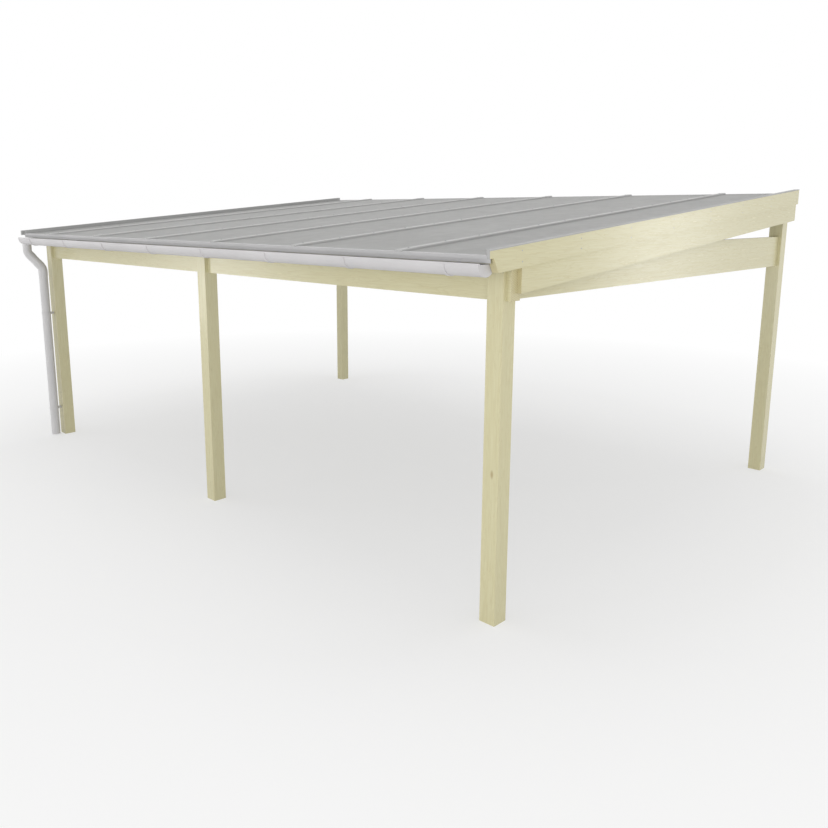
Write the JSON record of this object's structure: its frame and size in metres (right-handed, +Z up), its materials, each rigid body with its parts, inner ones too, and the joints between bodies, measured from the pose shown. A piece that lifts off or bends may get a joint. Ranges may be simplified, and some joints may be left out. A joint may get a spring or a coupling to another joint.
{
  "type": "sunroom frame",
  "caption": "Open lean-to sunroom frame: timber posts, notched eaves beam, rafters and gable boards under a multiwall sheet roof with glazing bars, gutter and downpipe.",
  "frame": {"origin": "on the floor, at the centre of the rectangle that the whole frame covers, gutter and roof included", "axes": "+X along the eaves to the right as seen from the garden side, +Y from the eaves to the high side, +Z up"},
  "size_m": [6.405, 4.653, 2.7013],
  "materials": {
    "timber": "planed glued-laminated softwood with a pale yellowish stain, satin",
    "sheet": "opal grey multiwall polycarbonate, faintly ribbed along the slope, semi-matt",
    "bar": "mill-finish aluminium extrusion, satin",
    "gutter": "smooth off-white coated steel",
    "pipe": "smooth light grey coated steel"
  },
  "bodies": {
    "root": {"post_front_left": "timber", "post_front_middle": "timber", "post_front_right": "timber", "post_back_left": "timber", "post_back_right": "timber", "front_beam": "timber", "back_beam": "timber", "gable_beam_left": "timber", "gable_beam_right": "timber", "gable_rafter_left": "timber", "gable_rafter_right": "timber", "barge_board_left": "timber", "barge_board_right": "timber", "edge_batten_left": "timber", "edge_batten_right": "timber", "rafter_1": "timber", "rafter_2": "timber", "rafter_3": "timber", "rafter_4": "timber", "rafter_5": "timber", "rafter_6": "timber", "roof_sheet_1": "sheet", "roof_sheet_2": "sheet", "roof_sheet_3": "sheet", "roof_sheet_4": "sheet", "roof_sheet_5": "sheet", "roof_sheet_6": "sheet", "roof_sheet_7": "sheet", "glazing_bar_1": "bar", "glazing_bar_2": "bar", "glazing_bar_3": "bar", "glazing_bar_4": "bar", "glazing_bar_5": "bar", "glazing_bar_6": "bar", "edge_flashing_left": "bar", "edge_flashing_right": "bar", "eaves_profile": "bar", "back_profile": "bar", "gutter": "gutter", "gutter_hooks": "gutter", "gutter_outlet": "pipe", "swan_neck": "pipe", "downpipe": "pipe", "pipe_clips": "pipe"}
  },
  "joints": []
}
